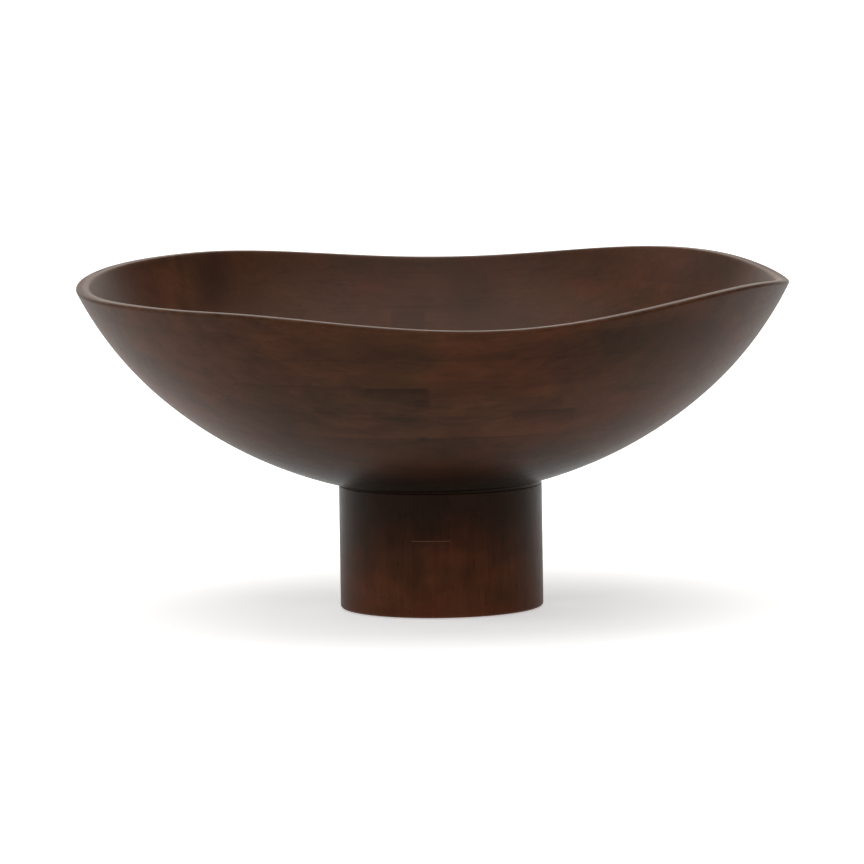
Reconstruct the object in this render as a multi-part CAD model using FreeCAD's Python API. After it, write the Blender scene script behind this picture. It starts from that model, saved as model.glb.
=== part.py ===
import FreeCAD, Part
import math
import os

from FreeCAD import Vector

# A wide wooden bowl with a wavy rim, glued up from level boards and turned, on a round
# foot glued up from upright boards. Millimetres. Z is up and 0 is the surface that the
# bowl stands on. The bowl's axis is X = 0, Y = 0, and the front is towards -Y.

# Foot
foot_radius = 50.8
foot_height = 61.8          # from its standing edge to the bowl's flat underside
foot_offset = 2.3           # the foot is glued on this far to the right of the bowl's axis
foot_edge_round = 1.5
foot_board = 18.8           # thickness of the upright boards
least_foot_board = 6.0      # an outer board is never thinner than this
foot_board_count = 6
jointed_board = 3           # this board, counted from the left, is in two lengths
foot_joint_height = 38.4

# Felt disc let into the underside of the foot
standing_ring = 8.8         # width of the wooden ring left round the felt's recess
felt_clearance = 0.5
felt_thickness = 2.0
felt_proud = 0.5            # how far the felt stands below the foot

# Dowel that joins the foot to the bowl
dowel_radius = 12.5
dowel_in_foot = 38.0
dowel_in_bowl = 5.0
dowel_end_space = 1.0       # spare depth for glue at the bottom of the foot's hole
wood_beside_dowel = 2.0     # between the dowel and the foot's seam to its left
glue_gap = 0.05

# Bowl, outside: a belly arc centred on the axis, then a tighter arc tangent to it
flat_radius = 45.8          # the planed flat under the bowl
belly_radius = 207.9
belly_sweep = math.radians(41.37)
shoulder_radius = 171.6

# Bowl, inside: the wall grows thicker from the rim to the floor
wall_thickness = 6.2
floor_thickness = 9.1       # on the axis, above the flat underside
rim_round = 1.3

# Courses of boards, from the bottom up
base_board = 21.7
wall_board = 13.6
base_strips = 3             # boards side by side across a course, from front to back
wall_strips = (4, 3, 4, 5, 4)
rim_strips = 5
strip_width = 80.0          # width of a board, across the bowl
least_strip = 20.0          # an outer strip is never narrower than this at mid thickness
end_joint_x = -2.7          # where a front board made of two lengths is butted
jointed_fronts = ("wall3", "rim")

# The rim's crests, dips and one long shoulder: the direction in degrees, counted from
# the right towards the back, and the height above the last wall course
rim_wave = (
    (3, 10.5),
    (45, 17.4),
    (88, 10.3),
    (133, 17.9),
    (205, 9.8),
    (232, 9.3),
    (279, 1.2),
    (332, 14.5),
)

# Room that the cutting shapes have beyond the wood
beyond = 30.0

# Levels, radii and centres that follow from the sizes above
recess_radius = foot_radius - standing_ring
foot_seam_shift = foot_board - dowel_radius - wood_beside_dowel
foot_bottom = felt_proud
seat_level = foot_bottom + foot_height
wall_level = seat_level + base_board
rim_level = wall_level + len(wall_strips) * wall_board
crest_level = rim_level + max(height for _, height in rim_wave)
belly_centre = seat_level + math.sqrt(belly_radius ** 2 - flat_radius ** 2)
shoulder_reach = (belly_radius - shoulder_radius) * math.sin(belly_sweep)
shoulder_centre = belly_centre - (belly_radius - shoulder_radius) * math.cos(belly_sweep)
axis_thickness = floor_thickness + seat_level - (belly_centre - belly_radius)


def outer_radius(level):
    """Radius of the bowl's outside at a level."""
    if level <= belly_centre - belly_radius * math.cos(belly_sweep):
        return math.sqrt(belly_radius ** 2 - (belly_centre - level) ** 2)
    return shoulder_reach + math.sqrt(shoulder_radius ** 2 - (shoulder_centre - level) ** 2)


def outer_point(sweep):
    """Point of the outside's profile where its normal is turned sweep from straight down."""
    if sweep <= belly_sweep:
        centre, radius = Vector(0, 0, belly_centre), belly_radius
    else:
        centre, radius = Vector(shoulder_reach, 0, shoulder_centre), shoulder_radius
    return centre + Vector(math.sin(sweep), 0, -math.cos(sweep)) * radius


def inner_point(sweep):
    """Point of the inside's profile, square across the wall from outer_point."""
    rim_sweep = math.acos((shoulder_centre - rim_level) / shoulder_radius)
    short_of_rim = max(0.0, 1 - sweep / rim_sweep)
    thickness = wall_thickness + (axis_thickness - wall_thickness) * short_of_rim ** 2
    return outer_point(sweep) - Vector(math.sin(sweep), 0, -math.cos(sweep)) * thickness


def turned_bowl():
    """The bowl as it comes off the lathe, with a level top above the highest crest."""
    top = crest_level + beyond
    last_sweep = math.acos((shoulder_centre - top) / shoulder_radius)
    profile_points = 9
    inside_points = [
        inner_point(last_sweep * step / (profile_points - 1)) for step in range(profile_points)
    ]
    inside = Part.BSplineCurve()
    inside.interpolate(
        Points=inside_points,
        InitialTangent=Vector(1, 0, 0),
        FinalTangent=Vector(math.cos(last_sweep), 0, math.sin(last_sweep)),
    )
    flat_sweep = math.asin(flat_radius / belly_radius)
    belly_end = outer_point(belly_sweep)
    belly = Part.Arc(
        outer_point(flat_sweep), outer_point((flat_sweep + belly_sweep) / 2), belly_end
    )
    shoulder = Part.Arc(
        belly_end, outer_point((belly_sweep + last_sweep) / 2), outer_point(last_sweep)
    )
    seat = Vector(0, 0, seat_level)
    profile = Part.Wire([
        Part.LineSegment(seat, outer_point(flat_sweep)).toShape(),
        belly.toShape(),
        shoulder.toShape(),
        Part.LineSegment(outer_point(last_sweep), inside_points[-1]).toShape(),
        inside.toShape().reversed(),
        Part.LineSegment(inside_points[0], seat).toShape(),
    ])
    return Part.Face(profile).revolve(Vector(0, 0, 0), Vector(0, 0, 1), 360)


def wave_height(degrees):
    """Height of the rim above the last wall course, easing from each point to the next."""
    for index, (start, low) in enumerate(rim_wave):
        end, high = rim_wave[(index + 1) % len(rim_wave)]
        span = (end - start) % 360
        along = (degrees - start) % 360
        if along <= span:
            return low + (high - low) * (1 - math.cos(math.pi * along / span)) / 2
    raise ValueError("the rim's directions must run once round")


def ring_curve(radius, level_at):
    """Closed smooth curve round the axis, at a level that depends on the direction."""
    step = 5
    points = [
        Vector(
            radius * math.cos(math.radians(degrees)),
            radius * math.sin(math.radians(degrees)),
            level_at(degrees),
        )
        for degrees in range(0, 360, step)
    ]
    curve = Part.BSplineCurve()
    curve.interpolate(Points=points, PeriodicFlag=True)
    return curve.toShape()


def waste_above_rim():
    """The ring of wood that is cut away to leave the wavy rim."""
    def wave_level(degrees):
        return rim_level + wave_height(degrees)

    def top_level(_):
        return crest_level + 2 * beyond

    near = outer_radius(rim_level) - 2 * beyond
    far = outer_radius(crest_level) + 2 * beyond
    wave_near, wave_far = ring_curve(near, wave_level), ring_curve(far, wave_level)
    top_near, top_far = ring_curve(near, top_level), ring_curve(far, top_level)
    faces = [
        Part.makeRuledSurface(wave_near, wave_far),
        Part.makeRuledSurface(wave_far, top_far),
        Part.makeRuledSurface(top_far, top_near),
        Part.makeRuledSurface(top_near, wave_near),
    ]
    shell = Part.Shell([face for piece in faces for face in piece.Faces])
    return Part.Solid(shell)


def rim_edges(bowl):
    """The edges where the wavy rim meets the outside and the inside."""
    return [
        edge for edge in bowl.Edges
        if edge.BoundBox.ZMin > rim_level and edge.BoundBox.ZMax < crest_level + 1
    ]


def finished_bowl():
    """The whole bowl with its wave cut, its rim eased and its dowel hole bored."""
    bowl = turned_bowl().cut(waste_above_rim())
    bowl = bowl.makeFillet(rim_round, rim_edges(bowl))
    return bowl.cut(dowel_hole())


def dowel_hole():
    """The hole for the dowel, in the foot and in the bowl's floor."""
    low = seat_level - dowel_in_foot - dowel_end_space
    depth = dowel_in_foot + dowel_end_space + dowel_in_bowl
    return Part.makeCylinder(dowel_radius + glue_gap, depth, Vector(foot_offset, 0, low))


def block(x_low, x_high, y_low, y_high, z_low, z_high):
    """A box between two corners."""
    return Part.makeBox(x_high - x_low, y_high - y_low, z_high - z_low, Vector(x_low, y_low, z_low))


def courses():
    """Name, lower level, upper level and number of strips of each course, from the bottom."""
    rows = [("base", seat_level, wall_level, base_strips)]
    for index, strip_count in enumerate(wall_strips):
        low = wall_level + index * wall_board
        rows.append((f"wall{index + 1}", low, low + wall_board, strip_count))
    rows.append(("rim", rim_level, crest_level, rim_strips))
    return rows


def seams(low, high, strip_count):
    """Distances from the axis, front and back alike, of a course's edge seams."""
    first = 0.0 if strip_count % 2 == 0 else strip_width / 2
    distances = [first + index * strip_width for index in range(strip_count // 2)]
    widest = outer_radius((low + high) / 2) - least_strip
    fit = min(1.0, widest / distances[-1])
    return [distance * fit for distance in distances]


def strips(low, high, strip_count):
    """Row name, front side and back side of each strip of a course, from the front."""
    reach = outer_radius(crest_level) + beyond
    half = seams(low, high, strip_count)
    lines = sorted({-distance for distance in half} | set(half))
    limits = [-reach] + lines + [reach]
    titles = {
        3: ("front", "middle", "back"),
        4: ("front", "front_inner", "back_inner", "back"),
        5: ("front", "front_inner", "middle", "back_inner", "back"),
    }[strip_count]
    return list(zip(titles, limits[:-1], limits[1:]))


def divisions(name, row):
    """Suffix, left side and right side of the separate pieces of one strip."""
    reach = outer_radius(crest_level) + beyond
    if row == "front" and name in jointed_fronts:
        return [("_left", -reach, end_joint_x), ("_right", end_joint_x, reach)]
    if name != "base" and row not in ("front", "back"):
        return [("_left", -reach, 0.0), ("_right", 0.0, reach)]
    return [("", -reach, reach)]


def bowl_boards():
    """Every board of the bowl, by name."""
    bowl = finished_bowl()
    boards = {}
    for name, low, high, strip_count in courses():
        for row, front, back in strips(low, high, strip_count):
            for suffix, left, right in divisions(name, row):
                top = high + beyond if name == "rim" else high
                board = bowl.common(block(left, right, front, back, low, top))
                boards[f"{name}_{row}{suffix}"] = board
    return boards


def turned_foot():
    """The foot as one turned piece, with its felt recess and dowel hole."""
    centre = Vector(foot_offset, 0, foot_bottom)
    foot = Part.makeCylinder(foot_radius, foot_height, centre)
    low_edges = [edge for edge in foot.Edges if edge.BoundBox.ZMax < foot_bottom + foot_edge_round]
    foot = foot.makeFillet(foot_edge_round, low_edges)
    recess = Part.makeCylinder(recess_radius, felt_thickness - felt_proud, centre)
    return foot.cut(recess).cut(dowel_hole())


def foot_boards():
    """The upright boards of the foot, by name, from the left."""
    foot = turned_foot()
    reach = foot_radius + beyond
    first_seam = foot_seam_shift - (foot_board_count // 2 - 1) * foot_board
    furthest = foot_radius - least_foot_board
    places = [first_seam + index * foot_board for index in range(foot_board_count - 1)]
    limits = [-reach] + [max(-furthest, min(furthest, place)) for place in places] + [reach]
    joint = foot_bottom + foot_joint_height
    boards = {}
    for number in range(1, foot_board_count + 1):
        left = foot_offset + limits[number - 1]
        right = foot_offset + limits[number]
        if number == jointed_board:
            lengths = [("_lower", -beyond, joint), ("_upper", joint, seat_level)]
        else:
            lengths = [("", -beyond, seat_level)]
        for suffix, low, high in lengths:
            board = foot.common(block(left, right, -reach, reach, low, high))
            boards[f"foot_board{number}{suffix}"] = board
    return boards


def dowel():
    """The round dowel, on the foot's axis."""
    low = seat_level - dowel_in_foot
    return Part.makeCylinder(dowel_radius, dowel_in_foot + dowel_in_bowl, Vector(foot_offset, 0, low))


def felt_disc():
    """The felt disc that the bowl stands on."""
    return Part.makeCylinder(recess_radius - felt_clearance, felt_thickness, Vector(foot_offset, 0, 0))


def main():
    """Build every piece and write it to its own file."""
    os.makedirs("parts", exist_ok=True)
    pieces = {**bowl_boards(), **foot_boards(), "dowel": dowel(), "felt_disc": felt_disc()}
    for name, shape in pieces.items():
        shape.exportStep(f"parts/{name}.step")
        print(name, len(shape.Solids), round(shape.Volume), shape.isValid())


main()
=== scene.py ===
"""A wide bowl with a waved rim on a round foot, glued up from stained boards and turned.

Every board is meshed again at a fine pitch and dressed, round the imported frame.
All lengths are in metres.
"""

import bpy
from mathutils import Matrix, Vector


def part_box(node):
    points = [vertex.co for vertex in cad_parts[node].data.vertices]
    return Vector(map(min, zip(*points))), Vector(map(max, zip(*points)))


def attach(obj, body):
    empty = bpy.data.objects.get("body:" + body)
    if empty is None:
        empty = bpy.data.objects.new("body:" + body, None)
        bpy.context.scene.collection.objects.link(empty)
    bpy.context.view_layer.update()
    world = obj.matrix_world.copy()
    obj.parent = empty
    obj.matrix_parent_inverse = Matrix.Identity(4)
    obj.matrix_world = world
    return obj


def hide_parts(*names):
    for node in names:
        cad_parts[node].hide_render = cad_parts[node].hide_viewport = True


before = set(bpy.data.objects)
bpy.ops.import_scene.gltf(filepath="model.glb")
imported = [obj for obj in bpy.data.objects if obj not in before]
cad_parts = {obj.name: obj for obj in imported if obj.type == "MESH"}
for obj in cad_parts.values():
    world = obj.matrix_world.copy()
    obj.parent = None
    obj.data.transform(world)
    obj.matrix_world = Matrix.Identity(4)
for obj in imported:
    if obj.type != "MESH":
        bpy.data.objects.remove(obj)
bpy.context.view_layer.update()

import logging
import math
import random
from collections.abc import Callable, Iterable, Sequence
from dataclasses import dataclass, field
from enum import Enum
from functools import cached_property, partial

import bmesh
import bpy
import numpy as np
from mathutils import Matrix, Vector, noise

LOG = logging.getLogger("bowl")
MM = 0.001
SEAM_WIDTH = 0.3 * MM       # how far a glue line's stain creeps into each board
TOUCH = 0.01 * MM           # two points nearer than this are the same place
SHARP = math.radians(23)    # a corner sharper than this stays crisp
SOFT_SHARE = 0.3            # how near an eased corner's middle comes to the sharp corner
MOST_SEED = 9.0             # boards draw their own figure from seeds up to this
FLOOR_MIDDLE = 2 * MM       # the smallest ring on the floor inside the bowl
HAND_REACH = 0.16 * MM      # the most that sanding by hand leaves the surface off its curve
HAND_FADE = 8 * MM          # over this height that comes in, above a flat seat
HAND_PITCH = 26.0           # waves per metre that sanding leaves
BOARD_SHIFT = (17.0, 31.0, 23.0)        # moves each board's noise away from its neighbours'
MIX_SHARE, MIX_FIRST, MIX_SECOND, MIX_RESULT = 0, 6, 7, 2   # a Mix node's colour sockets

ALONG, ACROSS, UP = range(3)            # the axes that a cut can face

Colour = tuple[float, float, float, float]
Triple = tuple[float, float, float]


# ---------------------------------------------------------------- shader maths


class Value:
    """A number that varies over a surface, wrapped so that Python operators add Math nodes."""

    def __init__(self, graph: "Graph", socket: bpy.types.NodeSocket) -> None:
        """Wrap one output socket of a node.

        Args:
            graph: The material being built.
            socket: The output that gives the number.
        """
        self.graph = graph
        self.socket = socket

    def _math(self, operation: str, *others: "Value | float", clamp: bool = False) -> "Value":
        """Add one Math node.

        Args:
            operation: What the node does.
            *others: Its inputs after this value, in order.
            clamp: Whether the result is kept between 0 and 1.

        Returns:
            The result.
        """
        settings = {"operation": operation, "use_clamp": clamp}
        values = {index: item for index, item in enumerate((self, *others))}
        return self.graph.value(self.graph.node("ShaderNodeMath", settings, values))

    def __add__(self, other: "Value | float") -> "Value":
        """Return this plus other."""
        return self._math("ADD", other)

    def __radd__(self, other: float) -> "Value":
        """Return other plus this."""
        return self._math("ADD", other)

    def __mul__(self, other: "Value | float") -> "Value":
        """Return this times other."""
        return self._math("MULTIPLY", other)

    def __rmul__(self, other: float) -> "Value":
        """Return other times this."""
        return self._math("MULTIPLY", other)

    def __sub__(self, other: "Value | float") -> "Value":
        """Return this minus other."""
        return self._math("SUBTRACT", other)

    def __rsub__(self, other: float) -> "Value":
        """Return other minus this."""
        return self * -1.0 + other

    def sine(self) -> "Value":
        """Return the sine of this, in radians."""
        return self._math("SINE")

    def size(self) -> "Value":
        """Return this without its sign."""
        return self._math("ABSOLUTE")

    def clamped(self) -> "Value":
        """Return this, kept between 0 and 1."""
        return self._math("ADD", 0.0, clamp=True)

    def step(self, low: float, high: float) -> "Value":
        """Return 0 below low, 1 above high, and an even rise between them."""
        return ((self - low) * (1.0 / (high - low))).clamped()


class Graph:
    """One procedural material and the ways of adding nodes to it."""

    def __init__(self, name: str) -> None:
        """Start an empty material.

        Args:
            name: The material's name.
        """
        self.material = bpy.data.materials.new(name)
        self.material.use_nodes = True
        self.tree = self.material.node_tree
        self.tree.nodes.clear()

    def node(
        self, kind: str, settings: dict | None = None, values: dict | None = None
    ) -> bpy.types.Node:
        """Add one node.

        Args:
            kind: The node's type name.
            settings: Its properties, set first.
            values: What its inputs take, by name or by place in the row: a number, a colour,
                a Value or a socket.

        Returns:
            The new node.
        """
        made = self.tree.nodes.new(kind)
        for name, setting in (settings or {}).items():
            setattr(made, name, setting)
        for key, item in (values or {}).items():
            socket = item.socket if isinstance(item, Value) else item
            if isinstance(socket, bpy.types.NodeSocket):
                self.tree.links.new(socket, made.inputs[key])
            else:
                made.inputs[key].default_value = socket
        return made

    def value(self, node: bpy.types.Node, output: int | str = 0) -> Value:
        """Wrap one of a node's outputs as a number."""
        return Value(self, node.outputs[output])

    def place(self) -> bpy.types.NodeSocket:
        """Return the point on the piece, in metres, in the piece's own frame."""
        return self.node("ShaderNodeTexCoord").outputs["Object"]

    def painted(self, name: str) -> Value:
        """Return a number that was painted on the mesh's points."""
        return self.value(self.node("ShaderNodeAttribute", {"attribute_name": name}), "Fac")

    def vector(self, operation: str, values: dict) -> bpy.types.Node:
        """Add one Vector Math node."""
        return self.node("ShaderNodeVectorMath", {"operation": operation}, values)

    def stretched(
        self, point: bpy.types.NodeSocket, pitch: Sequence[float], shift: Value | None = None
    ) -> bpy.types.NodeSocket:
        """Scale a point along each axis, and shift it so that each board shows its own wood.

        Args:
            point: The point to scale.
            pitch: Repeats per metre along X, Y and Z.
            shift: A number that differs from board to board.

        Returns:
            The socket of the scaled point.
        """
        scaled = self.vector("MULTIPLY", {0: point, 1: tuple(pitch)}).outputs[0]
        if shift is None:
            return scaled
        away = self.vector("SCALE", {0: BOARD_SHIFT, "Scale": shift}).outputs[0]
        return self.vector("ADD", {0: scaled, 1: away}).outputs[0]

    def cloud(
        self, point: bpy.types.NodeSocket, detail: float = 2.0, twist: float = 0.0
    ) -> Value:
        """Return soft noise, about one half on average.

        Args:
            point: The scaled point.
            detail: How many finer layers are added.
            twist: How far the noise is bent by itself.

        Returns:
            The noise.
        """
        values = {"Vector": point, "Scale": 1.0, "Detail": detail, "Distortion": twist}
        return self.value(self.node("ShaderNodeTexNoise", {"noise_dimensions": "3D"}, values))

    def blend(self, share: Value, first: object, second: object) -> bpy.types.NodeSocket:
        """Return a colour between two colours.

        Args:
            share: How much of the second colour there is.
            first: A colour or its socket.
            second: A colour or its socket.

        Returns:
            The socket of the blended colour.
        """
        ends = {MIX_SHARE: share, MIX_FIRST: first, MIX_SECOND: second}
        return self.node("ShaderNodeMix", {"data_type": "RGBA"}, ends).outputs[MIX_RESULT]

    def brightened(self, colour: bpy.types.NodeSocket, factor: Value) -> bpy.types.NodeSocket:
        """Return a colour with its brightness multiplied."""
        return self.vector("SCALE", {0: colour, "Scale": factor}).outputs[0]

    def bump(self, height: Value, strength: float, depth: float) -> bpy.types.NodeSocket:
        """Return a normal that follows fine relief.

        Args:
            height: The relief.
            strength: How much of it shows.
            depth: What a height of 1 stands for, in metres.

        Returns:
            The socket of the normal.
        """
        values = {"Strength": strength, "Distance": depth, "Height": height}
        return self.node("ShaderNodeBump", None, values).outputs[0]

    def finish(self, **values: object) -> bpy.types.Material:
        """Close the material with a Principled shader.

        Args:
            **values: What the shader's inputs take, with _ for each space in their names.

        Returns:
            The material.
        """
        named = {name.replace("_", " "): item for name, item in values.items()}
        shader = self.node("ShaderNodeBsdfPrincipled", None, named)
        self.node("ShaderNodeOutputMaterial", None, {"Surface": shader.outputs[0]})
        return self.material


# -------------------------------------------------------------------- finishes


class Grain(Enum):
    """The way a board's grain runs, as repeats along X, Y and Z for long, thin figure."""

    LEVEL = (1.0, 7.0, 7.0)
    UPRIGHT = (7.0, 7.0, 1.0)

    def pitch(self, per_metre: float) -> tuple[float, float, float]:
        """Return the repeats per metre along X, Y and Z."""
        return tuple(share * per_metre for share in self.value)


@dataclass(frozen=True)
class Blot:
    """A soft patch where the wood took more stain, or less, in millimetres."""

    middle: Triple
    reach: Triple
    strength: float
    core: float = 1.25

    def mask(self, graph: Graph, point: bpy.types.NodeSocket, ragged: Value) -> Value:
        """Return the patch's share at a point.

        Args:
            graph: The material being built.
            point: The point, in metres.
            ragged: Noise about zero that breaks up the patch's outline.

        Returns:
            Its strength, falling to nothing at its outline.
        """
        middle = tuple(part * MM for part in self.middle)
        pitch = tuple(1.0 / (part * MM) for part in self.reach)
        away = graph.vector("SUBTRACT", {0: point, 1: middle}).outputs[0]
        scaled = graph.vector("MULTIPLY", {0: away, 1: pitch}).outputs[0]
        length = graph.value(graph.vector("LENGTH", {0: scaled}), "Value")
        return (self.core - length + ragged).clamped() * self.strength


@dataclass(frozen=True)
class Streak:
    """A dark streak that starts at a seam's level and fades downwards, in millimetres."""

    left: float
    right: float
    top: float
    height: float
    strength: float
    at_back: bool = False
    end_inside: float = 0.8
    end_outside: float = 0.2
    seam_step: float = 0.3
    ragged_share: float = 0.7
    side_step: float = 5.0

    def mask(self, graph: Graph, point: bpy.types.NodeSocket, ragged: Value) -> Value:
        """Return the streak's share at a point.

        Args:
            graph: The material being built.
            point: The point, in metres.
            ragged: Noise about zero that breaks up the streak's lower edge.

        Returns:
            Its strength, falling to nothing at its lower edge.
        """
        parts = graph.node("ShaderNodeSeparateXYZ", None, {0: point})
        across, deep, level = (graph.value(parts, index) for index in range(3))
        middle, half = (self.left + self.right) / 2 * MM, (self.right - self.left) / 2 * MM
        from_middle = (across - middle).size()
        ends = 1.0 - from_middle.step(half - self.end_inside * MM, half + self.end_outside * MM)
        top, low = self.top * MM, (self.top - self.height) * MM
        fade = (level + ragged * (self.height * self.ragged_share * MM)).step(low, top)
        under = 1.0 - level.step(top, (self.top + self.seam_step) * MM)
        side = deep if self.at_back else deep * -1.0
        return ends * fade * under * side.step(0.0, self.side_step * MM) * self.strength


@dataclass(frozen=True)
class StainedWood:
    """Dark red-brown stain, rubbed into open-pored wood under a satin lacquer."""

    name: str
    grain: Grain
    blots: tuple[Blot, ...] = ()
    streaks: tuple[Streak, ...] = ()
    brown: Colour = (0.062, 0.0215, 0.0085, 1.0)
    red: Colour = (0.073, 0.0210, 0.0075, 1.0)
    olive: Colour = (0.042, 0.0190, 0.0080, 1.0)
    worn: Colour = (0.190, 0.098, 0.060, 1.0)
    gleam: Colour = (1.0, 0.93, 0.77, 1.0)
    refraction: float = 1.175
    roughness: float = 0.44
    coat_roughness: float = 0.4
    sheen: float = 0.03
    sheen_roughness: float = 0.3
    figure_pitch: float = 7.0
    streak_pitch: float = 55.0
    fleck_pitch: float = 95.0
    pore_pitch: float = 230.0
    patch_pitch: Triple = (14.0, 20.0, 22.0)
    mottle_pitch: Triple = (60.0, 80.0, 105.0)
    olive_pitch: Triple = (19.0, 19.0, 34.0)
    drift_pitch: Triple = (11.0, 11.0, 27.0)
    seam_pitch: Triple = (30.0, 30.0, 30.0)
    figure_shade: float = 0.45
    streak_shade: float = 0.38
    mottle_shade: float = 0.5
    drift_shade: float = 0.55
    ring_shade: float = 0.03
    rings: float = 46.0
    olive_share: float = 0.75
    flecked: float = 0.22
    pored: float = 0.15
    seam_shade: float = 0.18
    pale_share: float = 0.5
    relief: float = 0.25
    relief_depth: float = 0.1 * MM

    def material(self) -> bpy.types.Material:
        """Build the material."""
        graph = Graph(self.name)
        point = graph.place()
        seed = graph.painted("seed")

        def along(per_metre: float, detail: float, twist: float = 0.0) -> Value:
            """Return noise drawn out along the grain, different on each board."""
            pitch = self.grain.pitch(per_metre)
            return graph.cloud(graph.stretched(point, pitch, seed), detail, twist)

        def across(pitch: Triple, detail: float = 2.0, twist: float = 0.0) -> Value:
            """Return noise that runs on from board to board."""
            return graph.cloud(graph.stretched(point, pitch), detail, twist)

        figure = along(self.figure_pitch, 3.0, 0.6)
        streak = along(self.streak_pitch, 3.0)
        fleck = along(self.fleck_pitch, 1.0, 0.4).step(0.66, 0.74)
        pore = along(self.pore_pitch, 1.0).step(0.62, 0.72)
        mottle = across(self.mottle_pitch, 2.0, 0.3)
        drift = across(self.drift_pitch, 3.0, 0.5)
        seam = graph.painted("seam") * across(self.seam_pitch, 1.0).step(0.4, 0.62)
        # The painted number read next is painted shade: darker on the bowl round the foot and on
        # the top of the foot under the bowl.
        dark = graph.painted("dark")

        # This painted number holds each board's own lightness together with painted light and
        # shade: lighter inside the bowl and low on the foot, darker outside the bowl.
        light = 1.0 + graph.painted("tone_and_painted_light") + (figure - 0.5) * self.figure_shade
        light = light + (drift - 0.5) * self.drift_shade + (streak - 0.5) * self.streak_shade
        light = light + (mottle - 0.5) * self.mottle_shade
        light = light + (figure * self.rings).sine() * self.ring_shade
        ragged = (mottle - 0.5) * 1.6 + (streak - 0.5) * 0.8
        for mark in (*self.blots, *self.streaks):
            light = light * (1.0 + mark.mask(graph, point, ragged))
        light = light * (1.0 - pore * self.pored) * (1.0 - fleck * self.flecked)
        light = light * (1.0 - seam * self.seam_shade) * (1.0 - dark)

        patch = across(self.patch_pitch, 2.0, 0.3).step(0.45, 0.68)
        cold = across(self.olive_pitch).step(0.5, 0.74)
        colour = graph.blend(patch, self.brown, self.red)
        colour = graph.blend(cold * self.olive_share, colour, self.olive)
        colour = graph.brightened(colour, light)
        colour = graph.blend(graph.painted("wear") * streak.step(0.25, 0.8), colour, self.worn)
        colour = graph.blend(graph.painted("pale") * self.pale_share, colour, self.worn)

        rough = self.roughness + (streak - 0.5) * 0.12 + pore * 0.12 - dark * 0.1
        height = streak * 0.5 + mottle * 0.25 - pore - fleck * 0.5
        return graph.finish(
            Base_Color=colour, Roughness=rough, IOR=self.refraction, Specular_Tint=self.gleam,
            Normal=graph.bump(height, self.relief, self.relief_depth),
            Coat_Weight=graph.painted("gloss"), Coat_Roughness=self.coat_roughness,
            Sheen_Weight=self.sheen, Sheen_Roughness=self.sheen_roughness,
            Sheen_Tint=self.gleam,
        )


@dataclass(frozen=True)
class PlainWood:
    """Pale dowel stock, unstained."""

    name: str
    pale: Colour = (0.50, 0.33, 0.18, 1.0)
    shade: Colour = (0.36, 0.21, 0.10, 1.0)
    streak_pitch: float = 70.0
    roughness: float = 0.6

    def material(self) -> bpy.types.Material:
        """Build the material."""
        graph = Graph(self.name)
        pitch = Grain.UPRIGHT.pitch(self.streak_pitch)
        streak = graph.cloud(graph.stretched(graph.place(), pitch), 3.0)
        return graph.finish(
            Base_Color=graph.blend(streak.step(0.35, 0.7), self.pale, self.shade),
            Roughness=self.roughness + streak * 0.15, Normal=graph.bump(streak, 0.3, 0.1 * MM),
        )


@dataclass(frozen=True)
class PressedFelt:
    """Matt dark felt."""

    name: str
    fibre: Colour = (0.020, 0.017, 0.015, 1.0)
    fluff: Colour = (0.045, 0.040, 0.036, 1.0)
    fibre_pitch: Triple = (900.0, 900.0, 900.0)
    roughness: float = 0.95
    sheen: float = 0.3

    def material(self) -> bpy.types.Material:
        """Build the material."""
        graph = Graph(self.name)
        tangle = graph.cloud(graph.stretched(graph.place(), self.fibre_pitch), 4.0, 1.5)
        return graph.finish(
            Base_Color=graph.blend(tangle.step(0.35, 0.7), self.fibre, self.fluff),
            Roughness=self.roughness, Normal=graph.bump(tangle, 0.6, 0.3 * MM),
            Sheen_Weight=self.sheen,
        )


@dataclass(frozen=True)
class StudioPaper:
    """Smooth pale paper, lit a little from below, for the floor."""

    name: str
    pale: Colour = (0.94, 0.94, 0.94, 1.0)
    shade: Colour = (0.88, 0.88, 0.88, 1.0)
    near_glow: Colour = (0.48, 0.48, 0.48, 1.0)
    far_glow: Colour = (1.0, 1.0, 1.0, 1.0)
    near: float = 0.3
    far: float = 4.5
    fibre_pitch: Triple = (40.0, 40.0, 40.0)
    fibre_share: float = 0.04
    roughness: float = 0.9
    gloss: float = 0.1

    def material(self) -> bpy.types.Material:
        """Build the material."""
        graph = Graph(self.name)
        point = graph.place()
        fibre = graph.cloud(graph.stretched(point, self.fibre_pitch), 3.0)
        away = graph.value(graph.vector("LENGTH", {0: point}), "Value")
        return graph.finish(
            Base_Color=graph.blend(fibre * self.fibre_share, self.pale, self.shade),
            Roughness=self.roughness, Specular_IOR_Level=self.gloss,
            Emission_Color=graph.blend(
                away.step(self.near, self.far), self.near_glow, self.far_glow
            ),
            Emission_Strength=1.0,
        )


# ---------------------------------------------------------------------- meshes

Ring = list[Vector]


def circle(radius: float, level: float, count: int, centre: float = 0.0) -> Ring:
    """Return one level ring of points round an upright axis.

    Args:
        radius: The ring's radius.
        level: Its height.
        count: How many points it has.
        centre: How far its axis lies to the right.

    Returns:
        The points, from the right towards the back.
    """
    turns = [2 * math.pi * index / count for index in range(count)]
    return [
        Vector((centre + radius * math.cos(turn), radius * math.sin(turn), level))
        for turn in turns
    ]


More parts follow.
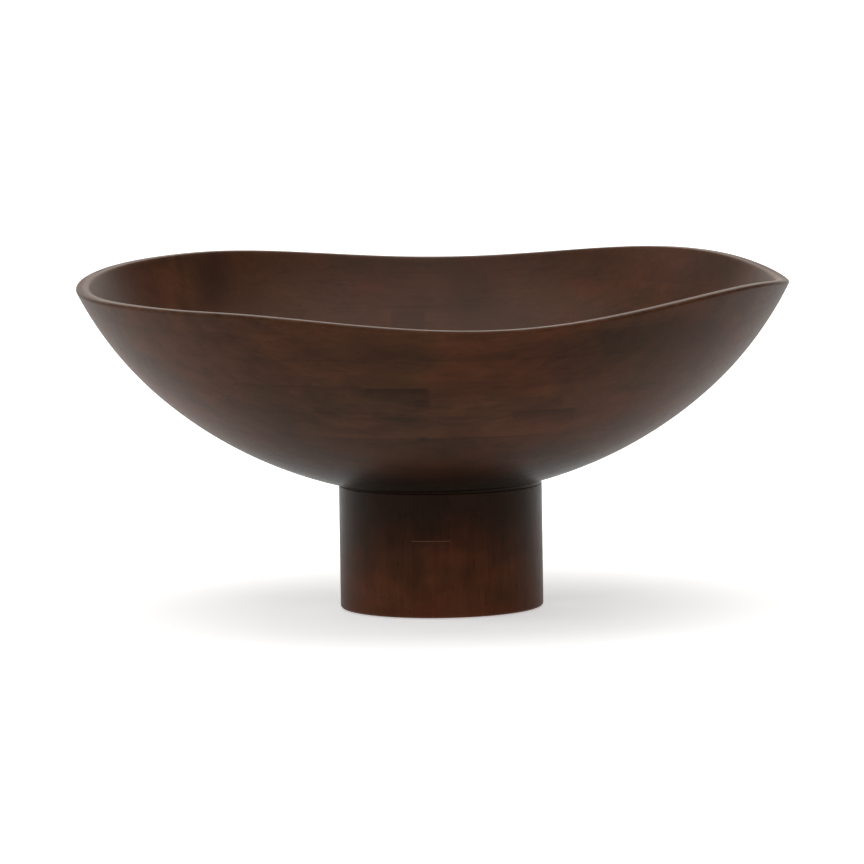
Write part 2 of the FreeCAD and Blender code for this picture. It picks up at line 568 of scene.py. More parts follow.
def loft(rings: Sequence[Ring], closed: bool) -> bmesh.types.BMesh:
    """Skin a row of rings.

    Args:
        rings: Rings of the same number of points, in order.
        closed: True if the last ring joins the first, False if each end is filled by a fan.

    Returns:
        A closed mesh.
    """
    mesh = bmesh.new()
    rows = [[mesh.verts.new(point) for point in ring] for ring in rings]
    for low, high in zip(rows, rows[1:] + rows[:1] if closed else rows[1:]):
        for index in range(len(low)):
            after = (index + 1) % len(low)
            mesh.faces.new((low[index], low[after], high[after], high[index]))
    if not closed:
        for row in (rows[0], rows[-1]):
            middle = mesh.verts.new(sum((vert.co for vert in row), Vector()) / len(row))
            for index, vert in enumerate(row):
                mesh.faces.new((vert, row[(index + 1) % len(row)], middle))
    bmesh.ops.recalc_face_normals(mesh, faces=mesh.faces)
    return mesh


def stations(low: float, high: float, pitch: float) -> list[float]:
    """Return even levels between two seams, with one more beside each seam.

    Args:
        low: The lower seam.
        high: The upper seam.
        pitch: About how far apart the levels are.

    Returns:
        The levels, lowest first.
    """
    count = max(2, round((high - low) / pitch))
    inner = [low + (high - low) * index / count for index in range(1, count)]
    return [low, low + SEAM_WIDTH, *inner, high - SEAM_WIDTH, high]


@dataclass(frozen=True)
class Cut:
    """A flat saw cut. The board keeps the side that its normal points away from."""

    axis: int
    place: float
    keeps_below: bool

    def apply(self, mesh: bmesh.types.BMesh) -> None:
        """Saw the mesh, close the cut, and leave a line of points just inside it.

        Args:
            mesh: The mesh, which is changed.
        """
        sign = 1.0 if self.keeps_below else -1.0
        normal = Vector([sign if index == self.axis else 0.0 for index in range(3)])
        at = normal * (self.place * sign)
        line = at - normal * SEAM_WIDTH
        self._bisect(mesh, line, normal, False)
        cut = self._bisect(mesh, at, normal, True)
        edges = [item for item in cut if isinstance(item, bmesh.types.BMEdge)]
        bmesh.ops.edgeloop_fill(mesh, edges=[edge for edge in edges if edge.is_boundary])

    @staticmethod
    def _bisect(
        mesh: bmesh.types.BMesh, place: Vector, normal: Vector, clear: bool
    ) -> list[bmesh.types.BMVert | bmesh.types.BMEdge]:
        """Split a mesh along a plane.

        Args:
            mesh: The mesh, which is changed.
            place: A point of the plane.
            normal: The plane's normal.
            clear: Whether the side that the normal points to is taken away.

        Returns:
            The points and the edges on the plane.
        """
        return bmesh.ops.bisect_plane(
            mesh, geom=[*mesh.verts, *mesh.edges, *mesh.faces], dist=TOUCH,
            plane_co=place, plane_no=normal, clear_outer=clear,
        )["geom_cut"]


def sawn(body: bmesh.types.BMesh, cuts: Iterable[Cut]) -> bmesh.types.BMesh:
    """Return a copy of a glued-up body with one board's saw cuts made.

    Args:
        body: The whole body, which is left alone.
        cuts: The board's cuts.

    Returns:
        The board.
    """
    board = body.copy()
    for cut in cuts:
        cut.apply(board)
    return board


Brush = Callable[[Vector], float]


def bare(point: Vector) -> float:
    """Paint nothing anywhere."""
    return 0.0


@dataclass(frozen=True)
class Paint:
    """What is painted on a board's points for its finish to read."""

    seams: Sequence[tuple[int, float]] = ()
    wear: Brush = bare
    # painted shade, darker where the piece lies in shade
    dark: Brush = bare
    # each board's own lightness, with painted light and shade added
    tone_and_painted_light: Brush = bare
    pale: Brush = bare
    gloss: Brush = bare
    seed: float = 0.0

    def apply(self, mesh: bpy.types.Mesh) -> None:
        """Store one number per point for each thing painted.

        Args:
            mesh: The board's mesh.
        """
        brushes: dict[str, Brush] = {
            "seam": self._on_seam, "wear": self.wear, "dark": self.dark, "tone_and_painted_light": self.tone_and_painted_light,
            "pale": self.pale, "gloss": self.gloss, "seed": lambda point: self.seed,
        }
        for name, brush in brushes.items():
            numbers = [brush(vert.co) for vert in mesh.vertices]
            layer = mesh.attributes.new(name, "FLOAT", "POINT")
            layer.data.foreach_set("value", np.array(numbers, np.float32))

    def _on_seam(self, point: Vector) -> float:
        """Return 1 on a glue seam and 0 elsewhere."""
        return float(any(abs(point[axis] - place) < 2 * TOUCH for axis, place in self.seams))


def ease(value: float, start: float, end: float) -> float:
    """Return 0 at start, 1 at end, and a smooth rise between them."""
    share = min(1.0, max(0.0, (value - start) / (end - start)))
    return share * share * (3 - 2 * share)


def hand_made(point: Vector, seat: float) -> Vector:
    """Return how far a hand-sanded surface stands from the true curve at a point.

    Args:
        point: The point on the true curve.
        seat: The level that the wood is flat at, where it stays true.

    Returns:
        A short step, the same for every board that meets there.
    """
    fade = min(1.0, max(0.0, (point.z - seat) / HAND_FADE))
    outward = Vector((point.x, point.y, 0.0))
    if outward.length > TOUCH:
        outward.normalize()
    return outward * (HAND_REACH * fade * noise.noise(point * HAND_PITCH))


def finished(
    mesh: bmesh.types.BMesh, name: str, slot: str, skin: bpy.types.Material, paint: Paint
) -> bpy.types.Object:
    """Turn a mesh into a dressed piece that stands for the CAD node of the same name.

    Args:
        mesh: The closed mesh.
        name: The CAD node.
        slot: The record's material slot.
        skin: The material.
        paint: What is painted on its points.

    Returns:
        The piece.
    """
    bmesh.ops.remove_doubles(mesh, verts=mesh.verts, dist=TOUCH / 4)
    many_sided = [face for face in mesh.faces if len(face.verts) > 4]
    bmesh.ops.triangulate(mesh, faces=many_sided)
    bmesh.ops.recalc_face_normals(mesh, faces=mesh.faces)
    for face in mesh.faces:
        face.smooth = True
    for edge in mesh.edges:
        edge.smooth = len(edge.link_faces) == 2 and edge.calc_face_angle(0.0) < SHARP
    data = bpy.data.meshes.new(name)
    mesh.to_mesh(data)
    mesh.free()
    paint.apply(data)
    data.materials.append(skin)
    kind = "wood" if slot.endswith("wood") else "piece"
    piece = bpy.data.objects.new(f"{name}_{kind}", data)
    bpy.context.scene.collection.objects.link(piece)
    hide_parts(name)
    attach(piece, "root")
    LOG.info("%s: %d faces", piece.name, len(data.polygons))
    return piece


# ------------------------------------------------------------------- the bowl


@dataclass(frozen=True)
class BowlShape:
    """The turned shape of the bowl and the wave of its rim."""

    seat_level: float
    wall_level: float
    rim_level: float
    flat_radius: float = 45.8 * MM
    belly_radius: float = 207.9 * MM
    belly_sweep: float = math.radians(41.37)
    shoulder_radius: float = 171.6 * MM
    wall_thickness: float = 6.2 * MM
    floor_thickness: float = 9.1 * MM
    rim_round: float = 1.3 * MM
    wave: tuple[tuple[float, float], ...] = (
        (3, 10.5), (45, 17.4), (88, 10.3), (133, 17.9),
        (205, 9.8), (232, 9.3), (279, 1.2), (332, 14.5),
    )
    inside_sweeps: tuple[float, float, int] = (math.radians(7), math.radians(77), 600)
    dish_points: int = 60

    @property
    def belly_centre(self) -> float:
        """Return the level of the belly arc's centre."""
        return self.seat_level + math.sqrt(self.belly_radius ** 2 - self.flat_radius ** 2)

    @property
    def shoulder_reach(self) -> float:
        """Return how far the shoulder arc's centre lies from the axis."""
        return (self.belly_radius - self.shoulder_radius) * math.sin(self.belly_sweep)

    @property
    def shoulder_centre(self) -> float:
        """Return the level of the shoulder arc's centre."""
        back = (self.belly_radius - self.shoulder_radius) * math.cos(self.belly_sweep)
        return self.belly_centre - back

    def outer(self, level: float) -> float:
        """Return the radius of the outside at a level."""
        if level <= self.belly_centre - self.belly_radius * math.cos(self.belly_sweep):
            return math.sqrt(self.belly_radius ** 2 - (self.belly_centre - level) ** 2)
        drop = self.shoulder_centre - level
        return self.shoulder_reach + math.sqrt(self.shoulder_radius ** 2 - drop ** 2)

    @cached_property
    def inside_profile(self) -> tuple[np.ndarray, np.ndarray]:
        """Return the radii and the levels of the inside, from the axis to above the rim."""
        sweeps = np.linspace(*self.inside_sweeps)
        rim_sweep = math.acos((self.shoulder_centre - self.rim_level) / self.shoulder_radius)
        on_axis = self.floor_thickness + self.seat_level - (self.belly_centre - self.belly_radius)
        short = np.maximum(0.0, 1 - sweeps / rim_sweep)
        thick = self.wall_thickness + (on_axis - self.wall_thickness) * short ** 2
        low = sweeps <= self.belly_sweep
        reach = np.where(low, self.belly_radius, self.shoulder_radius) - thick
        radii = np.where(low, 0.0, self.shoulder_reach) + np.sin(sweeps) * reach
        levels = np.where(low, self.belly_centre, self.shoulder_centre) - np.cos(sweeps) * reach
        slope = (levels[1] - levels[0]) / (radii[1] - radii[0])
        dish = np.linspace(0.0, radii[0], self.dish_points, endpoint=False)
        floor = levels[0] - slope * (radii[0] ** 2 - dish ** 2) / (2 * radii[0])
        return np.concatenate((dish, radii)), np.concatenate((floor, levels))

    def inner(self, level: float) -> float:
        """Return the radius of the inside at a level."""
        radii, levels = self.inside_profile
        return float(np.interp(level, levels, radii))

    def wave_level(self, turn: float) -> float:
        """Return the rim's level in a direction.

        Args:
            turn: The direction, in radians from the right towards the back.

        Returns:
            The level.
        """
        degrees = math.degrees(turn) % 360
        for (start, low), (end, high) in zip(self.wave, self.wave[1:] + self.wave[:1]):
            span = (end - start) % 360
            along = (degrees - start) % 360
            if along <= span:
                share = (1 - math.cos(math.pi * along / span)) / 2
                return self.rim_level + (low + (high - low) * share) * MM
        return self.rim_level

    def rim_section(self, turn: float, side: int) -> Triple:
        """Return how one edge of the rim is eased.

        Args:
            turn: The direction.
            side: 1 for the outside edge, -1 for the inside edge.

        Returns:
            The easing arc's centre radius, its centre level, and the level where it
            leaves the wall.
        """
        top = self.wave_level(turn)
        radius = self.outer if side > 0 else self.inner
        rise = 0.5 * MM
        lean = math.atan((radius(top) - radius(top - rise)) / rise)
        centre = radius(top) - self.rim_round * (math.tan(lean) + side / math.cos(lean))
        level = top - self.rim_round
        return centre, level, level - side * self.rim_round * math.sin(lean)

    def eased(self, level: float, side: int, section: Triple) -> float:
        """Return the radius at a level, on the easing where it has begun.

        Args:
            level: The level.
            side: 1 for the outside, -1 for the inside.
            section: How the rim is eased in this direction.

        Returns:
            The radius.
        """
        centre, middle, leaves = section
        if level <= leaves:
            return self.outer(level) if side > 0 else self.inner(level)
        across = math.sqrt(max(0.0, self.rim_round ** 2 - (level - middle) ** 2))
        return centre + side * across


class Row(Enum):
    """Where a strip lies in its course, from front to back."""

    FRONT_INNER = "front_inner"
    FRONT = "front"
    MIDDLE = "middle"
    BACK_INNER = "back_inner"
    BACK = "back"


@dataclass
class GluedBowl:
    """The bowl: a thick bottom course, thin wall courses and a waved rim course."""

    skin: bpy.types.Material
    shape: BowlShape
    foot_radius: float
    ring_points: int = 432
    pitch: float = 1.9 * MM
    hole_radius: float = 12.55 * MM
    hole_depth: float = 5.0 * MM
    foot_offset: float = 2.3 * MM
    glue_line: tuple[float, float] = (0.25 * MM, 0.15 * MM)
    fillet: tuple[float, float] = (0.7 * MM, 0.3 * MM)
    fillet_height: float = 2.6 * MM
    floor_rings: int = 30
    arc_steps: int = 7
    wall_shares: tuple[float, ...] = (
        0.0, 0.03, 0.12, 0.24, 0.36, 0.48, 0.60, 0.72, 0.84, 0.93, 1.0
    )
    # painted light and shade: the inside is painted a little lighter and the outside darker, for
    # how the light falls on each
    painted_inside_light: float = 0.03
    painted_outside_shade: float = -0.36
    inside_lacquer: float = 0.20
    board_tone: float = 0.05
    # painted shade: the bowl's outside is painted darker round the foot, where it lies in shade
    painted_shade: float = 0.88
    painted_shade_reach: tuple[float, float] = (68 * MM, 124 * MM)
    rim_wear: float = 0.32
    wear_reach: float = 1.4
    tones: dict[str, float] = field(default_factory=lambda: {
        "wall3_front_left": -0.05, "wall3_front_right": 0.01,
        "wall4_front": 0.02, "wall2_front": 0.0,
    })
    known: dict[tuple[float, int], Triple] = field(default_factory=dict, init=False)

    def base_rings(self) -> list[Ring]:
        """Return the rings of the dished bottom course, from its dowel hole to its floor."""
        shape, count = self.shape, self.ring_points
        seat, (inset, rise), (beyond, below) = shape.seat_level, self.glue_line, self.fillet
        rings = [
            circle(self.hole_radius, seat + self.hole_depth, count, self.foot_offset),
            circle(self.hole_radius, seat, count, self.foot_offset),
            circle(self.foot_radius - inset, seat, count, self.foot_offset),
            circle(self.foot_radius - rise, seat + rise, count, self.foot_offset),
            self._fillet(0.0, below),
            self._fillet(beyond, 0.0),
        ]
        belly = stations(seat, shape.wall_level, self.pitch / 2)
        rings += [
            circle(shape.outer(level), level, count)
            for level in belly if level > seat + self.fillet_height
        ]
        radii, levels = shape.inside_profile
        lip = shape.inner(shape.wall_level)
        floor = [lip * (1 - index / self.floor_rings) for index in range(self.floor_rings)]
        rings += [
            circle(radius, float(np.interp(radius, radii, levels)), count)
            for radius in [*floor, FLOOR_MIDDLE]
        ]
        return rings

    def _fillet(self, beyond: float, below: float) -> Ring:
        """Return one ring of the stained glue fillet that fills the corner over the foot.

        Args:
            beyond: How far the ring lies outside the foot.
            below: How far it lies below the belly.

        Returns:
            The ring, round the foot's own axis.
        """
        shape = self.shape
        ring = circle(self.foot_radius + beyond, 0.0, self.ring_points, self.foot_offset)
        for point in ring:
            reach = point.x ** 2 + point.y ** 2
            point.z = shape.belly_centre - math.sqrt(shape.belly_radius ** 2 - reach) - below
        return ring

    def wall_rings(self, low: float, high: float) -> list[Ring]:
        """Return the rings of one wall course, up its outside and down its inside."""
        levels = stations(low, high, self.pitch)
        outside = [self._ring(lambda section: level, 1) for level in levels]
        return outside + [self._ring(lambda section: level, -1) for level in levels[::-1]]

    def _ring(self, level_at: Callable[[Triple], float], side: int) -> Ring:
        """Return one ring on the outside or the inside.

        Args:
            level_at: Gives the ring's level, from how the rim is eased in that direction.
            side: 1 for the outside, -1 for the inside.

        Returns:
            The ring.
        """
        points = []
        for index in range(self.ring_points):
            turn = 2 * math.pi * index / self.ring_points
            section = self._section(turn, side)
            level = level_at(section)
            radius = self.shape.eased(level, side, section)
            points.append(Vector((radius * math.cos(turn), radius * math.sin(turn), level)))
        return points

    def _section(self, turn: float, side: int) -> Triple:
        """Return the rim's section in a direction, worked out once."""
        if (turn, side) not in self.known:
            self.known[turn, side] = self.shape.rim_section(turn, side)
        return self.known[turn, side]

    def _arc_start(self, section: Triple) -> float:
        """Return the level where the easing starts, clear of the rim's lower seam."""
        return max(self.shape.rim_level + SEAM_WIDTH, section[2])

    def _wall_level(self, share: float, section: Triple) -> float:
        """Return the level a share of the way up the plain wall of the rim course."""
        low = self.shape.rim_level
        return low + share * (self._arc_start(section) - low)

    def _arc_level(self, share: float, section: Triple) -> float:
        """Return the level a share of the way round the easing arc."""
        radius, middle = self.shape.rim_round, section[1]
        start = math.asin(max(-1.0, min(1.0, (self._arc_start(section) - middle) / radius)))
        return middle + radius * math.sin(start + share * (math.pi / 2 - start))

    def _rim_side(self, side: int) -> list[Ring]:
        """Return the rings of one side of the rim course, from its seam to its top."""
        arc_shares = [index / self.arc_steps for index in range(1, self.arc_steps + 1)]
        levels = [partial(self._wall_level, share) for share in self.wall_shares]
        levels += [partial(self._arc_level, share) for share in arc_shares]
        return [self._ring(level_at, side) for level_at in levels]

    def rim_rings(self) -> list[Ring]:
        """Return the rings of the rim course: up its outside, over its top, down its inside."""
        outside, inside = self._rim_side(1), self._rim_side(-1)[::-1]
        across = [
            [start.lerp(end, share) for start, end in zip(outside[-1], inside[0])]
            for share in (0.33, 0.67)
        ]
        return outside + across + inside

    def cuts(self, node: str) -> list[Cut]:
        """Return the saw cuts that free one board, read from the CAD board's own box.

        Args:
            node: The CAD node.

        Returns:
            The cuts.
        """
        low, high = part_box(node)
        row = next(row for row in Row if f"_{row.value}" in node)
        made = []
        if row is not Row.BACK:
            made.append(Cut(ACROSS, high.y, True))
        if row is not Row.FRONT:
            made.append(Cut(ACROSS, low.y, False))
        if node.endswith("_left"):
            made.append(Cut(ALONG, high.x if row is Row.FRONT else 0.0, True))
        if node.endswith("_right"):
            made.append(Cut(ALONG, low.x if row is Row.FRONT else 0.0, False))
        return made

    def paint(self, node: str, cuts: Iterable[Cut], low: float, high: float) -> Paint:
        """Return what is painted on one board.

        Args:
            node: The CAD node.
            cuts: The board's saw cuts.
            low: The level of its lower seam.
            high: The level of its upper seam.

        Returns:
            The paint.
        """
        draw = random.Random(node)
        seams = [(cut.axis, cut.place) for cut in cuts] + [(UP, low), (UP, high)]
        board = self.tones.get(node, draw.uniform(-self.board_tone, self.board_tone))

        def tone_and_painted_light(point: Vector) -> float:
            """Return the board's lightness: its own random offset, plus painted shade outside the
            bowl and a little painted light inside it.
            """
            return board + (self.painted_inside_light if self._is_inside(point) else self.painted_outside_shade)

        return Paint(
            seams, self._wear, self._painted_shade_near_foot, tone_and_painted_light, gloss=self._lacquer,
            seed=draw.uniform(0.0, MOST_SEED),
        )

    def _lacquer(self, point: Vector) -> float:
        """Return how thick the lacquer is, which is only built up inside the bowl."""
        return self.inside_lacquer if self._is_inside(point) else 0.0

    def _is_inside(self, point: Vector) -> bool:
        """Return whether a point is nearer the inside of the wall than the outside."""
        if point.z < self.shape.inside_profile[1][0] - TOUCH:
            return False
        middle = (self.shape.inner(point.z) + self.shape.outer(point.z)) / 2
        return math.hypot(point.x, point.y) < middle

    def _painted_shade_near_foot(self, point: Vector) -> float:
        """Return the painted shade that darkens the bowl's outside round the foot, where the bowl
        lies in shade over the foot.
        """
        if self._is_inside(point):
            return 0.0
        reach = math.hypot(point.x - self.foot_offset, point.y)
        return self.painted_shade * (1 - ease(reach, *self.painted_shade_reach))

    def _wear(self, point: Vector) -> float:
        """Return how far the stain is rubbed off near the rim's edges."""
        if point.z < self.shape.rim_level:
            return 0.0
        below = self.shape.wave_level(math.atan2(point.y, point.x)) - point.z
        return self.rim_wear * max(0.0, 1 - below / (self.wear_reach * self.shape.rim_round))

    def build(self) -> None:
        """Build, cut and dress every board."""
        shape = self.shape
        bodies = {"base": (loft(self.base_rings(), False), shape.seat_level, shape.wall_level)}
        nodes = sorted(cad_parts)
        for name in sorted({node.split("_")[0] for node in nodes if node.startswith("wall")}):
            low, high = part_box(f"{name}_back")
            bodies[name] = (loft(self.wall_rings(low.z, high.z), True), low.z, high.z)
        bodies["rim"] = (loft(self.rim_rings(), True), shape.rim_level, math.inf)
        for name, (body, low, high) in bodies.items():
            for vert in body.verts:
                vert.co += hand_made(vert.co, shape.seat_level)
            for node in nodes:
                if node.split("_")[0] == name:
                    cuts = self.cuts(node)
                    board = sawn(body, cuts)
                    finished(board, node, "bowl_wood", self.skin, self.paint(node, cuts, low, high))
            body.free()


# -------------------------------------------------------------------- the foot


@dataclass
class GluedFoot:
    """The foot: upright boards, turned round, recessed for the felt and bored for the dowel."""

    skin: bpy.types.Material
    bottom: float
    top: float
    centre: float
    radius: float
    recess_level: float
    recess_radius: float = 42.0 * MM
    edge_round: float = 1.5 * MM
    hole_radius: float = 12.55 * MM
    hole_depth: float = 39.0 * MM
    top_softness: float = 0.4 * MM
    ring_points: int = 288
    arc_steps: int = 6
    pitch: float = 2.4 * MM
    board_tone: float = 0.04
    top_tone: float = -0.25
    # painted light: the foot is painted lighter towards the floor, where light from the floor
    # reaches it
    painted_floor_light: float = 0.46
    # painted shade: the top of the foot is painted darker under the bowl, where it lies in shade
    painted_shade: float = 0.66
    painted_shade_drop: tuple[float, float] = (44 * MM, 3 * MM)
    edge_wear: float = 0.35

    def rings(self, joint: float) -> list[Ring]:
        """Return the rings: out of the dowel hole, over the top, down the side, into the recess.

        Args:
            joint: The level of the end joint in the jointed board.

        Returns:
            The rings.
        """
        soft = self.top_softness
        profile = [
            (self.hole_radius, self.top - self.hole_depth),
            (self.hole_radius, self.top),
            (self.radius - soft, self.top),
            (self.radius - soft * SOFT_SHARE, self.top - soft * SOFT_SHARE),
        ]
        sides = stations(joint, self.top - soft, self.pitch)[::-1]
        sides += stations(self.bottom + self.edge_round, joint, self.pitch)[::-1][1:-2]
        profile += [(self.radius, level) for level in sides]
        for step in range(self.arc_steps + 1):
            turn = math.pi / 2 * step / self.arc_steps
            profile.append((
                self.radius - self.edge_round * (1 - math.cos(turn)),
                self.bottom + self.edge_round * (1 - math.sin(turn)),
            ))
        profile += [(self.recess_radius, self.bottom), (self.recess_radius, self.recess_level)]
        return [circle(radius, level, self.ring_points, self.centre) for radius, level in profile]

    def cuts(self, node: str, joint: float) -> list[Cut]:
        """Return the saw cuts that free one board, read from the CAD board's own box.

        Args:
            node: The CAD node.
            joint: The level of the end joint in the jointed board.

        Returns:
            The cuts.
        """
        low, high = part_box(node)
        made = []
        if high.x < self.centre + self.radius - MM:
            made.append(Cut(ALONG, high.x, True))
        if low.x > self.centre - self.radius + MM:
            made.append(Cut(ALONG, low.x, False))
        if node.endswith(("_lower", "_upper")):
            made.append(Cut(UP, joint, node.endswith("_lower")))
        return made

    def paint(self, node: str, cuts: Iterable[Cut], joint: float) -> Paint:
        """Return what is painted on one board.

        Args:
            node: The CAD node.
            cuts: The board's saw cuts.
            joint: The level of the end joint in the jointed board.

        Returns:
            The paint.
        """
        draw = random.Random(node)
        board = draw.uniform(-self.board_tone, self.board_tone) + self.top_tone
        jointed = any(cut.axis == UP for cut in cuts)

        def tone_and_painted_light(point: Vector) -> float:
            """Return the board's lightness, with painted light that makes it lighter towards the
            floor.
            """
            return board + self.painted_floor_light * (1 - ease(point.z, self.bottom, joint))

        def pale(point: Vector) -> float:
            """Return 1 on the end joint, whose end grain took less stain."""
            return float(jointed and abs(point.z - joint) < 2 * TOUCH)

        seams = [(cut.axis, cut.place) for cut in cuts if cut.axis == ALONG]
        return Paint(
            seams, self._wear, self._painted_shade_under_bowl, tone_and_painted_light, pale, seed=draw.uniform(0.0, MOST_SEED)
        )

    def build(self) -> None:
        """Build, cut and dress every board."""
        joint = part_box("foot_board3_lower")[1].z
        body = loft(self.rings(joint), False)
        for node in sorted(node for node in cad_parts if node.startswith("foot_board")):
            cuts = self.cuts(node, joint)
            board = sawn(body, cuts)
            finished(board, node, "foot_wood", self.skin, self.paint(node, cuts, joint))
        body.free()

    def _wear(self, point: Vector) -> float:
        """Return how far the stain is rubbed off round the standing edge."""
        return self.edge_wear * max(0.0, 1 - (point.z - self.bottom) / self.edge_round)

    def _painted_shade_under_bowl(self, point: Vector) -> float:
        """Return the painted shade that darkens the top of the foot, under the bowl."""
        start, end = self.painted_shade_drop
        return self.painted_shade * ease(point.z, self.top - start, self.top - end)


@dataclass
class Dowel:
    """The hidden dowel: chamfered ends and pressed glue flutes."""

    skin: bpy.types.Material
    flutes: int = 24
    flute_depth: float = 0.35 * MM
    flute_crispness: int = 3
    chamfer: float = 1.5 * MM
    chamfer_inset: float = 0.6
    courses: int = 12
    ring_points: int = 240

    def build(self) -> None:
        """Build and dress the dowel."""
        low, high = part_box("dowel")
        radius = (high.x - low.x) / 2
        centre = (high.x + low.x) / 2
        rise = high.z - low.z
        levels = [low.z, low.z + self.chamfer]
        levels += [low.z + rise * index / self.courses for index in range(1, self.courses)]
        levels += [high.z - self.chamfer, high.z]
        rings = []
        for level in levels:
            inset = self.chamfer * self.chamfer_inset if level in (low.z, high.z) else 0.0
            ring = circle(radius - inset, level, self.ring_points, centre)
            for index, point in enumerate(ring):
                turn = 2 * math.pi * index / self.ring_points
                groove = max(0.0, math.cos(self.flutes * turn)) ** self.flute_crispness
                share = 1 - self.flute_depth * groove / radius
                point.x = centre + (point.x - centre) * share
                point.y *= share
            rings.append(ring)
        finished(loft(rings, False), "dowel", "dowel_wood", self.skin, Paint())


@dataclass
class FeltDisc:
    """The felt disc under the foot, with soft cut edges."""

    skin: bpy.types.Material
    softness: float = 0.35 * MM
    fuzz: float = 0.03 * MM
    fuzz_pitch: float = 900.0
    fuzz_edge: float = 0.98
    face_shares: tuple[float, ...] = (0.25, 0.5, 0.75, 0.95)
    ring_points: int = 240

    def build(self) -> None:
        """Build and dress the disc."""
        low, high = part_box("felt_disc")
        radius = (high.x - low.x) / 2
        centre = (high.x + low.x) / 2
        soft = self.softness
        profile = [(radius * share, low.z) for share in self.face_shares]
        profile += [
            (radius - soft, low.z), (radius - soft * SOFT_SHARE, low.z + soft * SOFT_SHARE),
            (radius, low.z + soft), (radius, high.z - soft), (radius - soft, high.z),
        ]
        profile += [(radius * share, high.z) for share in self.face_shares[::-1]]
        rings = [circle(reach, level, self.ring_points, centre) for reach, level in profile]
        for point in (point for ring in rings for point in ring):
            at_edge = math.hypot(point.x - centre, point.y) > radius * self.fuzz_edge
            if at_edge and point.z > low.z + soft / 2:
                point.z += self.fuzz * (noise.noise(point * self.fuzz_pitch) - 1)
        finished(loft(rings, False), "felt_disc", "felt", self.skin, Paint())


# ------------------------------------------------------------------ the studio


@dataclass(frozen=True)
class SoftBox:
    """A rectangular soft light: where it hangs, what it faces, its size and its watts."""

    name: str
    place: Triple
    size: tuple[float, float]
    watts: float
    aim: Triple = (0.0, 0.0, 0.1)
    colour: Triple = (1.0, 1.0, 1.0)

    def lamp(self) -> bpy.types.Light:
        """Make the light."""
        lamp = bpy.data.lights.new(self.name, "AREA")
        lamp.shape = "RECTANGLE"
        lamp.size, lamp.size_y = self.size
        lamp.color = self.colour
        return lamp


@dataclass(frozen=True)
class Snoot:
    """The narrow light that reaches the foot under the bowl."""

    name: str = "snoot"
    place: Triple = (0.0, -1.5, 1.15)
    aim: Triple = (0.0, -0.06, 0.0)
    watts: float = 17.0
    spread: float = math.radians(9.0)
    source: float = 0.10

    def lamp(self) -> bpy.types.Light:
        """Make the light."""
        lamp = bpy.data.lights.new(self.name, "SPOT")
        lamp.spot_size = self.spread
        lamp.spot_blend = 1.0
        lamp.shadow_soft_size = self.source
        return lamp


@dataclass
class Studio:
    """A pale floor, soft light from above and the camera."""

    paper: bpy.types.Material
    floor_half: float = 14.0
    floor_gap: float = 0.05 * MM
    room_light: Colour = (1.0, 0.98, 0.92, 1.0)
    room_strength: float = 0.12
    camera_place: Triple = (-1.48 * MM, -3.5, 448.9 * MM)
    camera_pitch: float = math.radians(5.887)
    camera_roll: float = math.radians(0.854)
    lens: float = 293.15
    sensor: float = 36.0
    farthest: float = 60.0
    lights: tuple[SoftBox | Snoot, ...] = (
        SoftBox("overhead", (0.0, 0.15, 1.9), (2.4, 2.4), 37.0),
        SoftBox("front", (0.0, -1.6, 1.45), (1.2, 1.2), 6.4),
        SoftBox("left", (-2.2, 0.3, 1.0), (1.6, 1.6), 12.5),
        SoftBox("right", (2.2, 0.3, 1.0), (1.6, 1.6), 0.6),
        SoftBox("back", (-0.2, 5.0, 1.6), (7.0, 3.0), 98.0, (0.0, 0.0, 0.8), (1.0, 0.97, 0.91)),
        Snoot(),
    )

    def build(self) -> None:
        """Build the floor, the lights and the camera."""
        self._floor()
        for light in self.lights:
            self._hang(light)
        self._room()
        self._camera()

    def _floor(self) -> None:
        """Lay the floor."""
        mesh = bmesh.new()
        bmesh.ops.create_grid(mesh, x_segments=8, y_segments=8, size=self.floor_half)
        data = bpy.data.meshes.new("floor")
        mesh.to_mesh(data)
        mesh.free()
        data.materials.append(self.paper)
        floor = bpy.data.objects.new("floor", data)
        floor.location.z = -self.floor_gap
        bpy.context.scene.collection.objects.link(floor)

    def _hang(self, light: SoftBox | Snoot) -> None:
        """Hang a light, facing the point that it is aimed at.

        Args:
            light: The light.
        """
        lamp = light.lamp()
        lamp.energy = light.watts
        hung = bpy.data.objects.new(lamp.name, lamp)
        hung.location = light.place
        towards = Vector(light.aim) - Vector(light.place)
        hung.rotation_euler = towards.to_track_quat("-Z", "Y").to_euler()
        bpy.context.scene.collection.objects.link(hung)

    def _room(self) -> None:
        """Fill the room with dim even light."""
        world = bpy.data.worlds.new("studio")
        world.use_nodes = True
        background = world.node_tree.nodes["Background"]
        background.inputs["Color"].default_value = self.room_light
        background.inputs["Strength"].default_value = self.room_strength
        bpy.context.scene.world = world
        bpy.context.scene.view_settings.view_transform = "Standard"

    def _camera(self) -> None:
        """Place the camera."""
        pitch, roll = self.camera_pitch, self.camera_roll
        forward = Vector((0.0, math.cos(pitch), -math.sin(pitch)))
        level_up = Vector((0.0, math.sin(pitch), math.cos(pitch)))
        right = Vector((1.0, 0.0, 0.0)) * math.cos(roll) - level_up * math.sin(roll)
        up = Vector((1.0, 0.0, 0.0)) * math.sin(roll) + level_up * math.cos(roll)
        turned = Matrix((right, up, -forward)).transposed().to_4x4()
        data = bpy.data.cameras.new("camera")
        data.lens, data.sensor_width, data.clip_end = self.lens, self.sensor, self.farthest
        camera = bpy.data.objects.new("camera", data)
        camera.matrix_world = Matrix.Translation(self.camera_place) @ turned
        bpy.context.scene.collection.objects.link(camera)
        bpy.context.scene.camera = camera


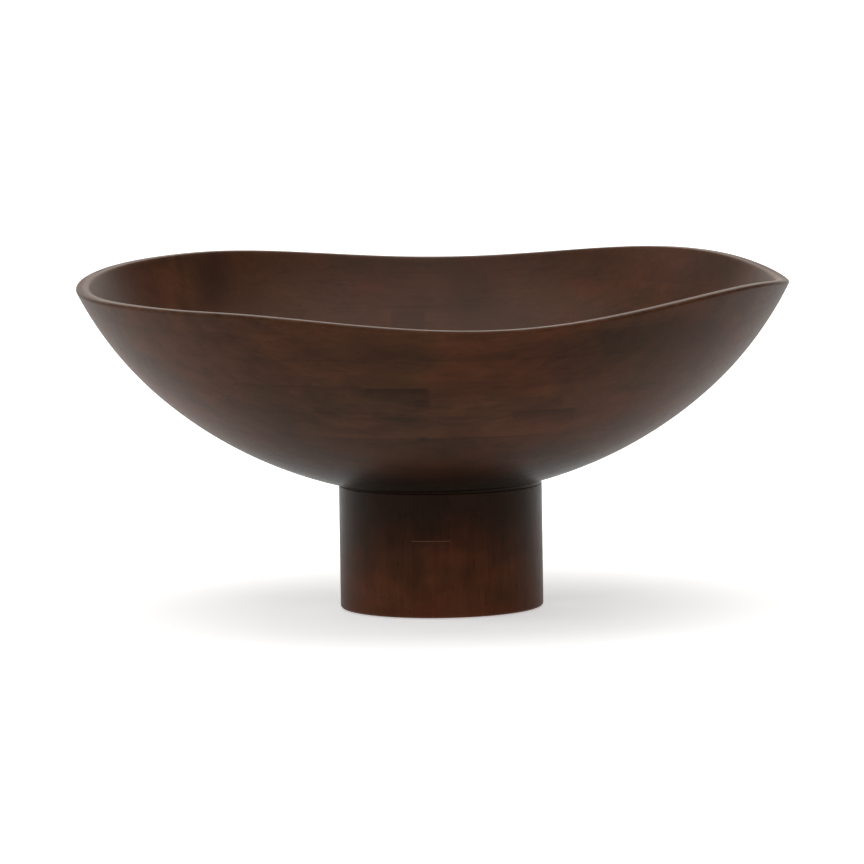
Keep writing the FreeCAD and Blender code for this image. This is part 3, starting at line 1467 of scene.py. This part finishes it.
BOWL_BLOTS = (
    Blot((-113, 118, 158), (10, 40, 20), -0.45),
    Blot((-134, 95, 154), (15, 40, 14), 0.40),
    Blot((21, 158, 143), (16, 30, 20), -0.30),
    Blot((-5, -145, 108), (60, 40, 13), 0.22),
    Blot((-84, -80, 92), (50, 45, 12), -0.18),
    Blot((107, -135, 146), (60, 50, 12), -0.18),
    Blot((-23, -168, 142), (18, 30, 7), -0.20),
    Blot((10, -160, 127), (9, 30, 9), -0.18),
    Blot((-6, -113, 97), (3.0, 30, 1.4), -0.60),
)
FOOT_BLOTS = (
    Blot((3, -48, 27), (9, 30, 15), 0.30),
    Blot((-26, -42, 13), (10, 30, 9), 0.18),
    Blot((24, -44, 30), (9, 30, 16), 0.14),
    Blot((15, -48, 21), (4, 30, 7), -0.22),
    Blot((-13, -48, 17), (5, 30, 8), -0.20),
    Blot((34, -38, 10), (8, 30, 5), -0.20),
    Blot((-36, -36, 24), (4, 30, 9), -0.18),
)
BOWL_STREAKS = (
    Streak(-34, -4, 124.4, 3.8, -0.42),
    Streak(-97, -34, 125.6, 1.6, -0.28),
    Streak(37, 68, 111.2, 7.5, -0.32),
    Streak(-4, 96, 97.6, 1.2, -0.20),
    Streak(-22, -4, 135.0, 26.0, -0.24, at_back=True),
)


def main() -> None:
    """Build every sub-assembly in order."""
    logging.basicConfig(level=logging.INFO, format="%(name)s: %(message)s")
    bowl_stain = StainedWood("bowl_stain", Grain.LEVEL, BOWL_BLOTS, BOWL_STREAKS).material()
    foot_stain = StainedWood(
        "foot_stain", Grain.UPRIGHT, FOOT_BLOTS,
        brown=(0.060, 0.0188, 0.0074, 1.0), red=(0.074, 0.0182, 0.0068, 1.0), flecked=0.3,
    ).material()
    seat, wall = (corner.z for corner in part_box("base_middle"))
    bottom, top = (corner.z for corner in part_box("foot_board4"))
    left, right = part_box("foot_board1")[0].x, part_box("foot_board6")[1].x
    centre, radius = (left + right) / 2, (right - left) / 2
    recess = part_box("felt_disc")[1].z
    GluedBowl(bowl_stain, BowlShape(seat, wall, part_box("rim_back")[0].z), radius).build()
    GluedFoot(foot_stain, bottom, top, centre, radius, recess).build()
    Dowel(PlainWood("dowel_stock").material()).build()
    FeltDisc(PressedFelt("pressed_felt").material()).build()
    Studio(StudioPaper("studio_paper").material()).build()


if __name__ == "__main__":
    main()
